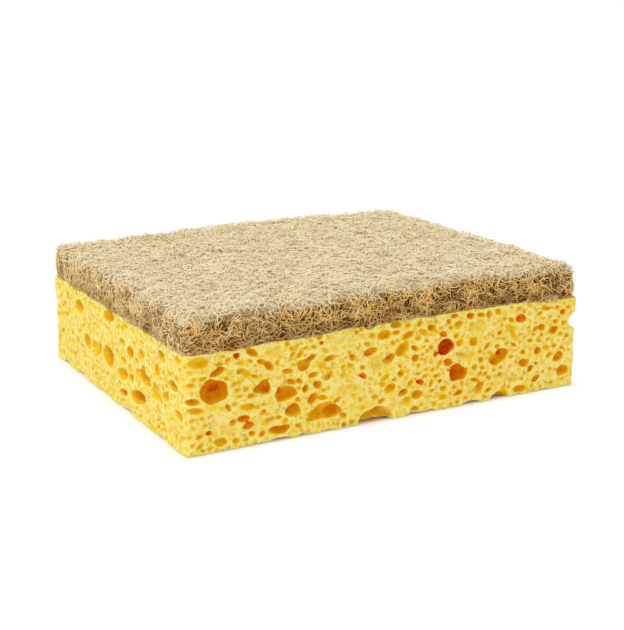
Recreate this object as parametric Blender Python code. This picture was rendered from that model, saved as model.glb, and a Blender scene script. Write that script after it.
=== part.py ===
"""Cellulose sponge with a plant-fibre scouring pad.

A square-cut block of regenerated cellulose, open pores on every free face, carries
a bonded web of plant fibre on its top. Metres, +Z up: the long side runs along X,
the underside is the plane z = 0 and the origin is at its middle.
"""

import math
import random

import bmesh
import bpy
from mathutils import Matrix, Vector, noise

# The block
LENGTH = 0.110
WIDTH = 0.090
BLOCK_HEIGHT = 0.0236
CROWN = 0.0010
CROWN_PEAK = 0.62
CORNER_RADIUS = 0.0015

# The pad
PAD_THICKNESS = 0.0086
PAD_INSET = 0.0002
PAD_EDGE_RADIUS = 0.0024
PAD_CORNER_RADIUS = 0.0030
PAD_WAVE = 0.00035
PAD_WAVE_LENGTH = 0.0055
PAD_RIPPLE_LENGTH = 0.0024
PAD_RAG = 0.00035
PAD_RAG_LENGTH = 0.0035
BOND_GAP = 0.0003

# The pores
CELL_WALL = 0.0005
EDGE_WALL = 0.0008
CELL_ROUGHNESS = 0.12
CELL_SUNK = 0.2
CELL_LOBES = 1.4
LOBE_STEP = Vector((3.1, 0.7, 5.3))
MOUTH_OVER_EDGE = 0.5
INNER_CELL_DEEP = 1.05
FINE_CELL = 0.0009
LARGE_CELL = 0.0022
REST_SPOT_RADIUS = 0.006

# Facets
CROWN_STEPS = 22
CORNER_STEPS = 3
PAD_STEPS_X = 24
PAD_STEPS_Y = 20

# Each pore on the two sides that show: how far along the face and how far up it,
# then its width and height, all in per cent of the face. Its depth is in half
# widths, and its tilt in degrees.
LONG_SIDE_PORES = [
    (3.4, 91, 5.0, 11, 0.5, 0),
    (6.7, 60, 6.2, 24, 1.2, 0),
    (11.5, 93, 1.8, 7, 1.4, 0),
    (12.3, 78, 2.7, 7, 0.8, 0),
    (19.5, 90, 4.1, 8, 0.4, 0),
    (17.5, 56, 3.5, 14, 1.3, 0),
    (22.9, 47, 5.6, 17, 0.9, 0),
    (27.1, 71, 3.2, 14, 0.9, 0),
    (31.6, 68, 2.7, 8.5, 0.7, 0),
    (31.5, 89, 1.8, 7, 1.4, 0),
    (24.6, 28.5, 4.3, 11, 1.3, 0),
    (14.4, 21, 3.1, 9, 1.2, 15),
    (7.7, 11, 3.6, 10, 0.9, 0),
    (21.3, 12, 5.4, 8.5, 0.9, 0),
    (32.4, 21, 8.6, 19, 0.45, 0),
    (41.5, 50, 2.0, 6, 1.4, -20),
    (41.5, 28, 2.5, 7, 0.9, 0),
    (43.6, 73, 4.1, 8.5, 0.9, 0),
    (47.6, 86, 3.4, 12, 0.7, 0),
    (43.8, 100, 3.6, 10, 1.0, 0),
    (44.8, 5, 9.0, 21, 0.6, 0),
    (51.6, 72, 4.4, 15, 0.8, 35),
    (56.5, 85, 3.5, 8, 0.8, -15),
    (51.5, 45, 1.8, 10, 0.9, 0),
    (56.4, 33, 2.7, 6.5, 1.2, -30),
    (52.6, 17.5, 3.6, 9, 0.7, 0),
    (63.1, 64.5, 5.1, 20.5, 1.5, 0),
    (66.2, 35, 4.9, 20, 1.2, 20),
    (70.2, 65, 3.2, 9.5, 0.8, -25),
    (66.8, 13, 3.2, 8, 0.8, 10),
    (72.5, 16.5, 3.5, 9, 1.0, 15),
    (77.7, 46, 6.2, 16, 0.9, 22),
    (78.4, 26, 2.2, 7.5, 0.8, 0),
    (78.2, 4, 4.0, 11, 0.8, 0),
    (83.6, 83.5, 3.1, 12, 1.3, 0),
    (85.0, 34.5, 3.9, 12, 0.8, 0),
    (87.7, 70, 2.1, 7, 1.0, 0),
    (93.0, 65.5, 3.3, 9.5, 0.9, 8),
    (90.6, 89, 1.8, 6, 1.2, 0),
    (91.2, 49, 2.5, 8, 0.7, 15),
    (88.3, 17, 3.1, 8, 0.9, 20),
    (95.1, 38, 2.9, 9, 0.9, 0),
    (100, 72, 4.0, 17, 1.0, 0),
    (95.8, 17.5, 2.9, 12, 0.8, 0),
    (5.2, 21, 2.0, 6, 0.8, 0),
    (8.0, 33, 2.2, 6, 0.6, 25),
    (8.6, 23, 2.8, 6, 0.6, 5),
    (12.7, 68, 2.1, 7, 0.7, 20),
    (13.9, 40, 4.1, 9, 0.8, 0),
    (17.8, 33, 2.4, 9, 0.7, 35),
    (27.8, 90, 3.0, 5, 0.6, 5),
    (33.3, 57, 3.5, 8, 0.7, 35),
    (38.7, 40, 4.1, 6, 0.6, 5),
    (40.3, 66, 1.9, 6, 0.7, -10),
    (43.1, 41, 1.9, 6, 0.7, 25),
    (45.3, 59, 3.5, 11, 0.6, 20),
    (47.6, 45, 3.4, 8, 0.7, 15),
    (48.4, 32, 3.6, 12, 0.7, 25),
    (58.8, 15, 2.8, 6, 0.6, 10),
    (60.8, 45, 1.9, 6, 0.6, -35),
    (62.6, 11, 3.2, 11, 0.5, -15),
    (66.6, 86, 2.0, 13, 0.6, -45),
    (69.8, 52, 3.0, 10, 0.6, -10),
    (69.9, 85, 1.4, 11, 0.7, -35),
    (76.1, 63, 2.5, 5, 0.6, 15),
    (79.4, 91, 2.0, 5, 0.6, -30),
    (81.1, 69, 1.9, 16, 0.6, 45),
    (81.2, 18, 2.4, 10, 0.7, 0),
    (84.0, 17, 1.3, 9, 0.6, 30),
    (91.7, 80, 1.8, 6, 0.8, 0),
]
SHORT_SIDE_PORES = [
    (5.0, 38, 2.8, 8, 0.8, 0),
    (6.5, 15, 3.1, 5.5, 0.7, 0),
    (8.0, 64, 4.4, 7.5, 1.0, 0),
    (12, 49, 3.1, 9.5, 0.7, 0),
    (14.5, 17, 3.6, 6, 0.7, 0),
    (15, 87, 4.0, 7.5, 0.7, 0),
    (17.8, 70, 3.3, 8.5, 0.9, 12),
    (19.2, 44.5, 5.4, 15, 0.5, 0),
    (29, 75, 2.6, 7, 0.8, 0),
    (29.4, 53, 8.6, 10.5, 0.6, -7),
    (32.5, 25, 7.6, 10.5, 0.6, -12),
    (36.9, 70, 3.7, 10, 1.2, 0),
    (36.8, 41, 2.6, 7, 0.7, 0),
    (38.5, 10, 2.9, 5.5, 0.7, 0),
    (42.8, 75, 3.3, 6.5, 0.8, 0),
    (43.6, 38, 5.2, 12, 0.7, 0),
    (52.8, 90, 5.0, 10.5, 1.2, 0),
    (54.8, 47, 7.0, 20, 0.9, 0),
    (64.2, 48, 5.0, 12, 0.5, 0),
    (71, 48, 4.5, 12.5, 1.1, 0),
    (74.5, 28, 4.0, 7.5, 0.5, 0),
    (77, 82, 5.3, 12.5, 0.9, 0),
    (5.0, 83, 2.2, 5, 0.6, -25),
    (9.6, 24, 2.2, 5, 0.5, -5),
    (10.6, 35, 3.2, 4, 0.5, -20),
    (16.5, 26, 2.6, 5, 0.6, -15),
    (22.0, 24, 2.7, 5, 0.5, 5),
    (25.7, 22, 2.8, 4, 0.5, -40),
    (29.7, 91, 2.1, 5, 0.5, -25),
    (32.7, 80, 3.6, 7, 0.5, 5),
    (34.1, 93, 4.0, 6, 0.5, 5),
    (44.0, 86, 3.0, 6, 0.5, -15),
    (45.4, 62, 4.4, 6, 0.6, 15),
    (50.4, 66, 3.0, 8, 0.5, -25),
    (51.9, 78, 2.7, 4, 0.5, -15),
    (61.9, 88, 2.9, 5, 0.5, -15),
    (66.4, 87, 2.4, 4, 0.5, -10),
    (84.5, 76, 2.2, 5, 0.5, -10),
]

# Cells that open out of the floor of a pore: how far along and up the face, then
# width and height, as above. Each one's middle lies this far under the face, in
# per cent of the face's height.
LONG_SIDE_INNER = [
    (7.5, 58, 3.0, 12, 16),
    (22.1, 48, 2.2, 9, 10),
    (34.4, 20.5, 3.7, 14.5, 6.6),
    (45.6, 10, 3.0, 12.5, 9.4),
    (62.9, 66, 2.6, 10.5, 16.5),
    (66.7, 33, 2.4, 9.7, 12.7),
    (78.7, 48, 2.5, 10, 10),
]
SHORT_SIDE_INNER = [
    (28.1, 53, 2.3, 7.6, 6.5),
    (52.3, 91, 2.0, 6.6, 9),
    (55.8, 48, 3.2, 10.5, 10.5),
]

# Pores strewn over each hidden side: the counts of large and of small ones, and
# their least and greatest widths.
LARGE_PORE_COUNTS = {"back": 16, "right": 13, "bottom": 16}
SMALL_PORE_COUNTS = {"back": 10, "right": 9, "bottom": 6}
LARGE_PORE_WIDTHS = (0.0028, 0.0072)
SMALL_PORE_WIDTHS = (0.0010, 0.0018)
STREWN_SEED = 8
TRIES_PER_PORE = 60


def clear_scene():
    """Remove every object of the file that this runs in."""
    for thing in list(bpy.data.objects):
        bpy.data.objects.remove(thing, do_unlink=True)


def material(name, colour, roughness):
    """Return a plain dielectric material."""
    made = bpy.data.materials.new(name)
    made.use_nodes = True
    surface = made.node_tree.nodes["Principled BSDF"]
    surface.inputs["Base Color"].default_value = (*colour, 1.0)
    surface.inputs["Roughness"].default_value = roughness
    surface.inputs["Metallic"].default_value = 0.0
    made.diffuse_color = (*colour, 1.0)
    return made


def add_object(name, shape, surface=None):
    """Put a bmesh into the scene as one object and return it."""
    mesh = bpy.data.meshes.new(name)
    bmesh.ops.recalc_face_normals(shape, faces=shape.faces)
    shape.to_mesh(mesh)
    shape.free()
    added = bpy.data.objects.new(name, mesh)
    if surface:
        mesh.materials.append(surface)
    bpy.context.scene.collection.objects.link(added)
    return added


def combine(target, tool, operation, name):
    """Join the tool to the target or take it out of it, and hide the tool."""
    tool.hide_render = True
    tool.display_type = "WIRE"
    modifier = target.modifiers.new(name, "BOOLEAN")
    modifier.operation = operation
    modifier.solver = "EXACT"
    modifier.object = tool


def crown_height(x):
    """Height of the block's arched top at this place along its length."""
    along = min(max(x / LENGTH + 0.5, 0.0), 1.0)
    skew = math.log(0.5) / math.log(CROWN_PEAK)
    return BLOCK_HEIGHT + CROWN * math.sin(math.pi * along**skew)


def arched_prism(margin, lift):
    """Return a prism under the arched top line, wider by the margin and raised by the lift."""
    half_length = LENGTH / 2
    stations = [LENGTH * (step / CROWN_STEPS - 0.5) for step in range(CROWN_STEPS + 1)]
    outline = [(x, crown_height(x) + lift) for x in stations]
    if margin:
        outline.insert(0, (-half_length - margin, BLOCK_HEIGHT + lift))
        outline.append((half_length + margin, BLOCK_HEIGHT + lift))
    outline.append((half_length + margin, 0.0))
    outline.append((-half_length - margin, 0.0))

    shape = bmesh.new()
    depth = WIDTH + 2 * margin
    corners = [shape.verts.new((x, -depth / 2, z)) for x, z in outline]
    front = shape.faces.new(corners)
    pulled = bmesh.ops.extrude_face_region(shape, geom=[front])["geom"]
    moved = [item for item in pulled if isinstance(item, bmesh.types.BMVert)]
    bmesh.ops.translate(shape, verts=moved, vec=(0, depth, 0))
    return shape


def side_frame(side):
    """Return a side's near bottom corner, its directions along, up and outwards, and its two sizes."""
    half_length = LENGTH / 2
    half_width = WIDTH / 2
    across = Vector((1, 0, 0))
    back = Vector((0, 1, 0))
    up = Vector((0, 0, 1))
    if side == "front":
        return Vector((-half_length, -half_width, 0)), across, up, -back, LENGTH, BLOCK_HEIGHT
    if side == "back":
        return Vector((-half_length, half_width, 0)), across, up, back, LENGTH, BLOCK_HEIGHT
    if side == "left":
        return Vector((-half_length, -half_width, 0)), back, up, -across, WIDTH, BLOCK_HEIGHT
    if side == "right":
        return Vector((half_length, -half_width, 0)), back, up, across, WIDTH, BLOCK_HEIGHT
    return Vector((-half_length, -half_width, 0)), across, back, -up, LENGTH, WIDTH


class Cell:
    """One lens-shaped cell of the foam: its middle, its three directions and half sizes."""

    def __init__(self, middle, axes, half_sizes):
        self.middle = middle
        self.axes = axes
        self.half_sizes = half_sizes

    def reach(self, direction):
        """Greatest distance from the middle to the cell's skin along this direction."""
        squares = [
            (half * axis.dot(direction)) ** 2
            for axis, half in zip(self.axes, self.half_sizes)
        ]
        return (1 + CELL_ROUGHNESS) * math.sqrt(sum(squares))


def cell_on_side(side, place, size, deep, tilt, under=None):
    """Return a side's cell, in metres: it opens at the face, or has its middle this far under it."""
    corner, along, up, outward, _, _ = side_frame(side)
    turn = Matrix.Rotation(math.radians(tilt), 3, along.cross(up))
    swell = 1 / math.sqrt(1 - CELL_SUNK**2)
    half_width = swell * size[0] / 2
    half_height = swell * size[1] / 2
    half_depth = deep * (half_width + half_height) / 2
    on_face = corner + place[0] * along + place[1] * up
    if under is None:
        under = CELL_SUNK * half_depth
    middle = on_face - under * outward
    return Cell(middle, (turn @ along, turn @ up, outward), (half_width, half_height, half_depth))


def top_at(side, along):
    """Height of a side above its foot, this far along it."""
    if side == "bottom":
        return WIDTH
    if side in ("front", "back"):
        return crown_height(along - LENGTH / 2)
    return BLOCK_HEIGHT


def named_cells(side, pores):
    """Return the cells of a list of pores given in per cent of the side."""
    length, height = side_frame(side)[4:]
    cells = []
    for along, up, wide, high, deep, tilt in pores:
        reach = along * length / 100
        place = (reach, up * top_at(side, reach) / 100)
        size = (wide * length / 100, high * height / 100)
        cells.append(cell_on_side(side, place, size, deep, tilt))
    return cells


def inner_cells(side, deeper):
    """Return the cells that open out of the floors of a side's pores."""
    length, height = side_frame(side)[4:]
    cells = []
    for along, up, wide, high, under in deeper:
        reach = along * length / 100
        place = (reach, up * top_at(side, reach) / 100)
        size = (wide * length / 100, high * height / 100)
        cells.append(cell_on_side(side, place, size, INNER_CELL_DEEP, 0, under * height / 100))
    return cells


def meets_edge_cleanly(side, cell, place):
    """Whether a cell lies clear of the side's four edges or runs well through them."""
    _, along, up, _, length, _ = side_frame(side)
    spans = [
        (place[0], along),
        (length - place[0], along),
        (place[1], up),
        (top_at(side, place[0]) - place[1], up),
    ]
    for distance, direction in spans:
        reach = cell.reach(direction)
        if MOUTH_OVER_EDGE * reach < distance < reach + EDGE_WALL:
            return False
    return True


def stands_apart(cell, others):
    """Whether a wall of cellulose is left between a cell and all the others."""
    for other in others:
        between = other.middle - cell.middle
        gap = between.length
        direction = between.normalized()
        if gap < cell.reach(direction) + other.reach(direction) + CELL_WALL:
            return False
    return True


def clear_of_rest_spot(side, cell):
    """Whether the underside stays whole round its middle, where the block is rested."""
    if side != "bottom":
        return True
    aside = cell.middle.xy.length
    return aside > REST_SPOT_RADIUS + cell.half_sizes[0]


def strew(cells, dice, side, count, width_range):
    """Add a number of seeded pores to a side, largest first."""
    length, height = side_frame(side)[4:]
    least, greatest = width_range
    widths = [least + (greatest - least) * dice.random() ** 2 for _ in range(count)]
    for width in sorted(widths, reverse=True):
        for _ in range(TRIES_PER_PORE):
            place = (dice.random() * length, dice.random() * height)
            size = (width, width * dice.uniform(0.55, 1.0))
            cell = cell_on_side(side, place, size, dice.uniform(0.6, 1.2), dice.uniform(-30, 30))
            if not meets_edge_cleanly(side, cell, place):
                continue
            if clear_of_rest_spot(side, cell) and stands_apart(cell, cells):
                cells.append(cell)
                break


def add_cell(shape, cell, number):
    """Add one uneven cell to a mesh, with fewer facets the smaller it is."""
    placed = Matrix([axis * half for axis, half in zip(cell.axes, cell.half_sizes)]).transposed()
    half = max(cell.half_sizes)
    if half > LARGE_CELL:
        ball = bmesh.ops.create_icosphere(shape, subdivisions=2, radius=1.0)
    elif half > FINE_CELL:
        ball = bmesh.ops.create_uvsphere(shape, u_segments=7, v_segments=3, radius=1.0)
    else:
        ball = bmesh.ops.create_uvsphere(shape, u_segments=5, v_segments=3, radius=1.0)
    for vert in ball["verts"]:
        lobe = 1.6 * noise.noise(CELL_LOBES * vert.co + number * LOBE_STEP)
        vert.co = cell.middle + placed @ (vert.co * (1 + CELL_ROUGHNESS * lobe))


def cells_object(name, cells):
    """Return one cutter that holds all these cells."""
    shape = bmesh.new()
    for number, cell in enumerate(cells):
        add_cell(shape, cell, number)
    return add_object(name, shape)


def build_block():
    """The cellulose block: an arched, square-cut prism opened by its pores."""
    shape = arched_prism(0.0, 0.0)
    upright = [
        edge
        for edge in shape.edges
        if abs(edge.verts[0].co.z - edge.verts[1].co.z) > BLOCK_HEIGHT / 2
    ]
    bmesh.ops.bevel(
        shape, geom=upright, offset=CORNER_RADIUS, segments=CORNER_STEPS, profile=0.5, affect="EDGES"
    )
    block = add_object("sponge_block", shape, material("cellulose", (0.82, 0.57, 0.12), 0.75))

    front = named_cells("front", LONG_SIDE_PORES)
    left = named_cells("left", SHORT_SIDE_PORES)
    cells = front + left
    deeper = inner_cells("front", LONG_SIDE_INNER) + inner_cells("left", SHORT_SIDE_INNER)
    dice = random.Random(STREWN_SEED)
    for side, count in LARGE_PORE_COUNTS.items():
        strew(cells, dice, side, count, LARGE_PORE_WIDTHS)
    for side, count in SMALL_PORE_COUNTS.items():
        strew(cells, dice, side, count, SMALL_PORE_WIDTHS)
    pores = cells_object("pore_cutter", cells)
    combine(pores, cells_object("inner_pore_cutter", deeper), "UNION", "Inner pores")
    combine(block, pores, "DIFFERENCE", "Pores")


def edge_lines(half, steps):
    """Places of the pad's grid lines across one of its sides, closer together at its rounded rim."""
    rim = [0.0, 0.35 * PAD_EDGE_RADIUS, 0.95 * PAD_EDGE_RADIUS]
    start = -half + rim[-1]
    inside = [start + (2 * -start) * step / steps for step in range(1, steps)]
    near = [-half + inset for inset in rim]
    return near + inside + [-place for place in reversed(near)]


def rounded_plan(x, y, half_x, half_y):
    """Draw a point of the pad's corner squares in to a rounded corner."""
    over_x = abs(x) - (half_x - PAD_CORNER_RADIUS)
    over_y = abs(y) - (half_y - PAD_CORNER_RADIUS)
    if over_x <= 0 or over_y <= 0:
        return x, y
    pull = max(over_x, over_y) / math.hypot(over_x, over_y)
    x = math.copysign(half_x - PAD_CORNER_RADIUS + pull * over_x, x)
    y = math.copysign(half_y - PAD_CORNER_RADIUS + pull * over_y, y)
    return x, y


def rim_drop(inset):
    """How far the pad's top has fallen at this distance in from its outline."""
    if inset >= PAD_EDGE_RADIUS:
        return 0.0
    return PAD_EDGE_RADIUS - math.sqrt(PAD_EDGE_RADIUS**2 - (PAD_EDGE_RADIUS - inset) ** 2)


def pad_wave(x, y):
    """How far the matted top stands above or below its even height."""
    place = Vector((x, y, 0))
    swell = noise.noise(place / PAD_WAVE_LENGTH)
    ripple = noise.noise(place / PAD_RIPPLE_LENGTH)
    return PAD_WAVE * (1.4 * swell + 0.7 * ripple - 1)


def pad_shape():
    """Return the pad's matted top and ragged sides over a flat foot that the bed will trim."""
    half_x = LENGTH / 2 - PAD_INSET
    half_y = WIDTH / 2 - PAD_INSET
    lines_x = edge_lines(half_x, PAD_STEPS_X)
    lines_y = edge_lines(half_y, PAD_STEPS_Y)
    foot = BLOCK_HEIGHT - 2 * BOND_GAP
    shape = bmesh.new()

    grid = []
    for x in lines_x:
        column = []
        for y in lines_y:
            inset = min(half_x - abs(x), half_y - abs(y))
            plan_x, plan_y = rounded_plan(x, y, half_x, half_y)
            top = crown_height(x) + BOND_GAP + PAD_THICKNESS + pad_wave(x, y)
            column.append(shape.verts.new((plan_x, plan_y, top - rim_drop(inset))))
        grid.append(column)
    last_x = len(lines_x) - 1
    last_y = len(lines_y) - 1
    for i in range(last_x):
        for j in range(last_y):
            shape.faces.new((grid[i][j], grid[i + 1][j], grid[i + 1][j + 1], grid[i][j + 1]))

    rim = [grid[i][0] for i in range(last_x)]
    rim += [grid[last_x][j] for j in range(last_y)]
    rim += [grid[i][last_y] for i in range(last_x, 0, -1)]
    rim += [grid[0][j] for j in range(last_y, 0, -1)]
    above = rim
    for level in (0.5, 0.0):
        ring = []
        for vert in rim:
            z = foot + level * (vert.co.z - foot)
            rag = noise.noise(Vector((vert.co.x, vert.co.y, z)) / PAD_RAG_LENGTH)
            inward = 1 - PAD_RAG * (1 + rag) / (WIDTH / 2)
            ring.append(shape.verts.new((vert.co.x * inward, vert.co.y * inward, z)))
        for place, vert in enumerate(ring):
            after = (place + 1) % len(ring)
            shape.faces.new((above[after], above[place], vert, ring[after]))
        above = ring
    shape.faces.new(above)
    return shape


def build_pad():
    """The scouring pad: a matted slab whose underside follows the block's arch."""
    pad = add_object("scouring_pad", pad_shape(), material("plant_fibre", (0.60, 0.43, 0.22), 0.9))
    bed = add_object("pad_bed", arched_prism(CORNER_RADIUS + PAD_INSET, BOND_GAP))
    combine(pad, bed, "DIFFERENCE", "Bed")


clear_scene()
build_block()
build_pad()
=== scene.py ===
"""Looks for the cellulose sponge and its scouring pad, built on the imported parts.

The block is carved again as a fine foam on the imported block, with its pores in the
same places, and the pad gets a core and loose plant fibres. Metres, +Z up.
"""

import math

import bpy
import numpy as np
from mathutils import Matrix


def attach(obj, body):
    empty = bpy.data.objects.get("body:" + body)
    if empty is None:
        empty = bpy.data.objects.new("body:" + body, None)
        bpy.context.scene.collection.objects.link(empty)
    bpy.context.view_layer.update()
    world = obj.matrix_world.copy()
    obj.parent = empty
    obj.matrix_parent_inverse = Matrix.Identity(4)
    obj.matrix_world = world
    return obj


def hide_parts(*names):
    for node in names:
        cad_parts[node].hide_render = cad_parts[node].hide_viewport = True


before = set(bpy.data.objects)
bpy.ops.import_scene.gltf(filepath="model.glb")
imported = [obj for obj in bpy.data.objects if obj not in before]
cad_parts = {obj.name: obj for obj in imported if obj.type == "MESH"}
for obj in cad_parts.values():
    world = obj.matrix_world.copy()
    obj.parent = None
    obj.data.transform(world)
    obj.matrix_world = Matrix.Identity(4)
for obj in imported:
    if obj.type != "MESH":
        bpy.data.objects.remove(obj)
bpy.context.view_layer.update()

import openvdb
from mathutils import Vector

MM = 0.001
WELD_DISTANCE = 1e-7

# The camera, found from the corners of the sponge in the photograph
CAMERA_LENS_MM = 74.55
CAMERA_SENSOR_MM = 36.0
CAMERA_AZIMUTH = math.radians(-28.85)
CAMERA_ELEVATION = math.radians(15.05)
CAMERA_DISTANCE = 0.3379
CAMERA_TARGET = Vector((-0.00358, -0.00962, 0.01808))

# What the lamps have in common
LAMP_COLOUR = (1.0, 0.98, 0.94)
LAMP_TARGET = (0, 0, 0.02)

# The foam, in metres: warps and lumps by pitch and strength, warps fading out at the flat faces
VOXEL = 0.00027
BAND_VOXELS = 8
MARGIN_VOXELS = 4
CORNER_RADIUS = 0.0015
RIM_ROUNDING = 0.0003
WARPS = [(0.0032, 0.0005), (0.0013, 0.00018)]
WARP_FADE = 0.0012
FACE_LUMPS = [(0.0045, 0.00016), (0.0017, 0.00010)]
FOAM_SEED = 11
FOAM_COARSENING = 0.15
FRONT_SEAM = -0.030

# The pad, in metres: how far its core lies under its skin, the pitch and strength of its lumps,
# and how much calmer they are near the top
PAD_VOXEL = 0.0005
CORE_INSET = 0.0009
CORE_INSET_ON_TOP = 0.0004
CORE_COARSENING = 0.25
PAD_LUMPS = [(0.0045, 0.00036), (0.0018, 0.00034)]
CALM_ON_TOP = 0.45
CALM_DEPTH = 0.003
FIBRE_SEED = 5

# Where the pad's top ends and its sides begin, by how far the skin faces up, and how wide a
# fibre is at its ends
TOP_FACING = 0.75
FIBRE_TIP = 0.35

# The section of a fibre, in radii: how far aside and how far out of the skin
FIBRE_PROFILE = [(-1.0, -0.25), (0.0, 0.75), (1.0, -0.25)]

# The block and the floor, in metres, and the reach of the warm glow painted round it, in millimetres
HALF_LENGTH = 0.055
HALF_WIDTH = 0.045
HALF_FLOOR = 2.0
FLOOR_DROP = 0.0001
PAINTED_GLOW_REACH = 4.0

# Smaller pores measured on the two sides that show, in millimetres: how far along from the
# middle of the side and how far up it, width, height and tilt in degrees
LONG_SIDE_CELLS = [
    (-54.1, 4.4, 2.1, 1.2, -20), (-53, 8.5, 1.8, 1.1, -10), (-52.8, 6.6, 1.6, 0.9, 0),
    (-52.8, 12.7, 3.4, 1.6, 10), (-52.4, 17.9, 1.3, 0.9, 0), (-52.3, 10.6, 4.1, 1.5, 10),
    (-51.4, 4.4, 1.7, 1, -30), (-51.3, 2.2, 1.9, 0.9, -40), (-50.5, 8.5, 1.8, 1.1, 20),
    (-50.2, 17.8, 1.9, 1, -10), (-49.8, 6.8, 1.4, 0.9, -20), (-48.3, 8.8, 1.3, 1.2, 0),
    (-48.2, 6.7, 1.1, 1.4, 30), (-46.7, 18.8, 4, 1.6, -20), (-46.2, 20.5, 2, 1.2, 0),
    (-44.6, 17, 1.5, 0.9, 30), (-44.2, 10.1, 1.2, 2.1, -30), (-43.2, 3.6, 1.7, 0.8, 20),
    (-43.1, 6.4, 2.1, 1.4, -40), (-42.6, 10.7, 1.5, 1.2, -20), (-42, 13.9, 1.6, 1.3, 0),
    (-41.3, 12.3, 1.6, 0.9, 0), (-40.5, 6.9, 3.1, 1.6, 0), (-39.9, 1.8, 1.4, 1, -10),
    (-39.7, 13.8, 1.6, 0.9, -30), (-38.5, 12, 2, 1.1, -10), (-38.1, 22.1, 3.3, 1.6, 30),
    (-37.6, 16.5, 2, 0.9, 20), (-35.8, 19.6, 2.4, 1.2, 20), (-35.8, 2.4, 1.9, 1.2, -30),
    (-33.9, 5.5, 2.6, 1.2, -20), (-33.9, 18.4, 1.8, 3, -40), (-31.8, 18.9, 1.1, 1.5, 20),
    (-31, 20, 1.5, 1.2, 10), (-29.1, 16.4, 3.2, 1.2, 10), (-28.5, 13.7, 3.3, 1.5, 10),
    (-27.9, 20.2, 1.8, 0.8, -40), (-26.6, 9.2, 1.5, 1.1, 40), (-26.5, 2.8, 1.7, 1, 30),
    (-26.1, 13.6, 1.9, 1.1, 40), (-26, 19.9, 2.1, 1.1, -40), (-24.6, 11.5, 1.5, 2.1, 20),
    (-23.3, 18.4, 3.6, 1.3, -30), (-22.7, 8.8, 3.1, 2.1, -40), (-22.6, 14.5, 2.7, 1.3, -10),
    (-22.3, 21.2, 1.6, 1, 30), (-21.4, 11.9, 2.4, 1.8, 30), (-20.1, 8.6, 2.7, 1.3, 10),
    (-19.1, 19.8, 2, 1.1, 30), (-18.1, 17.8, 3.3, 1.3, -10), (-15.9, 7.4, 2.5, 1, -20),
    (-13.4, 11.6, 1.6, 0.8, 20), (-12.8, 15.3, 1.7, 1.1, 10),
    (-11.1, 23.1, 1.3, 1.1, 0), (-10.3, 19.4, 0.9, 1.8, 30), (-8, 19.8, 2.1, 1.2, 20),
    (-5.7, 6.4, 1.8, 1.5, 0), (-3.9, 5.1, 2.1, 1.2, -20), (-1.9, 15.3, 3.5, 2, -30),
    (-0.1, 23.4, 3, 1.6, 0), (-0.1, 21.5, 2.1, 1.2, 0), (2.1, 6.2, 2.7, 1.7, -20),
    (3.3, 20.4, 3.6, 1.7, -20), (5, 7.1, 1.3, 1.1, 0), (5.3, 16.9, 2.3, 1.2, 30),
    (5.8, 1.5, 2.3, 1.5, 10), (6.3, 5, 3.2, 2.2, 0), (6.4, 10.4, 2, 0.8, 0), (7.7, 2.2, 1.4, 1, 0),
    (7.8, 16.9, 1.6, 0.8, -20), (8.3, 13.4, 1.5, 1.1, 20), (8.5, 9.4, 2.1, 1.1, -10),
    (8.7, 18.3, 1.5, 0.9, 10), (8.9, 15.7, 1.3, 1, 30), (10.1, 21.3, 2.6, 1.7, 20),
    (10.2, 7.4, 1, 2.3, 20), (10.5, 5.4, 1.8, 0.7, -10), (11.5, 20.2, 1.5, 0.9, 30),
    (11.6, 9, 1.6, 1, 0), (13.5, 19.3, 2.3, 1.5, 20), (13.8, 5.5, 2, 1.3, 0),
    (15, 22.2, 1.2, 1.6, -30), (15.2, 11.8, 2.9, 1.9, 20), (15.6, 20.6, 1.3, 1.1, 0),
    (16.7, 23.4, 2.4, 1.1, 0), (17.3, 18.4, 1.5, 1.3, 0), (18.8, 13.3, 3.3, 1.2, 20),
    (21.3, 22.9, 2.3, 1.4, 10), (23.4, 6.1, 3, 1, 20), (24.6, 13.3, 1.5, 1.1, 0),
    (24.6, 22.6, 2.6, 1.3, 10), (25.1, 11, 1.7, 1.6, 0), (25.5, 9, 1.7, 1.1, 20),
    (26.8, 14.4, 2.3, 1.1, -40), (27, 22.5, 1.5, 2.1, 0), (27.6, 12.5, 1.9, 0.7, 20),
    (28.5, 4.2, 1.4, 0.9, 10), (29.9, 13.9, 1.7, 1.4, 0), (32.6, 14.3, 1.7, 0.8, -40),
    (33.9, 20.2, 1.9, 1.2, 20), (34.8, 13.7, 2.2, 0.8, 30), (37.3, 1.6, 4.1, 1.9, 0),
    (38, 11.2, 1.7, 1.3, 20), (38.2, 15.1, 1.8, 1, -10), (40, 14, 1.9, 1, 10),
    (41.2, 1.8, 1.7, 1, 0), (42.6, 10.9, 2.1, 2.1, 0), (42.8, 20.7, 1.9, 0.9, -20),
    (42.8, 13.6, 1.9, 1.2, 30), (44.1, 1.3, 1.2, 1.7, 20), (47.9, 18, 2, 1.1, 10),
    (48.2, 21.7, 1.3, 1.1, 0), (50.4, 10.7, 1.8, 0.9, 20), (50.5, 17.3, 1.4, 1.6, 0),
    (52, 21.2, 1.9, 1.3, 20), (54.3, 19.5, 1.6, 1.1, 20), (55.8, 17.4, 7.0, 4.2, 0),
    (51.2, 4.6, 3.4, 2.6, 20), (49.2, 8, 3, 1.6, 0), (-31, 0, 6.4, 1.3, 0), (-18.2, 0.2, 1.8, 1, 0),
    (4.8, 0.4, 1.2, 1.6, 0), (10.6, 0.2, 1.8, 1.2, 0), (22.4, 0, 5.8, 1.7, 0), (30.8, 0, 5.2, 3.4, 0),
]
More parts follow.
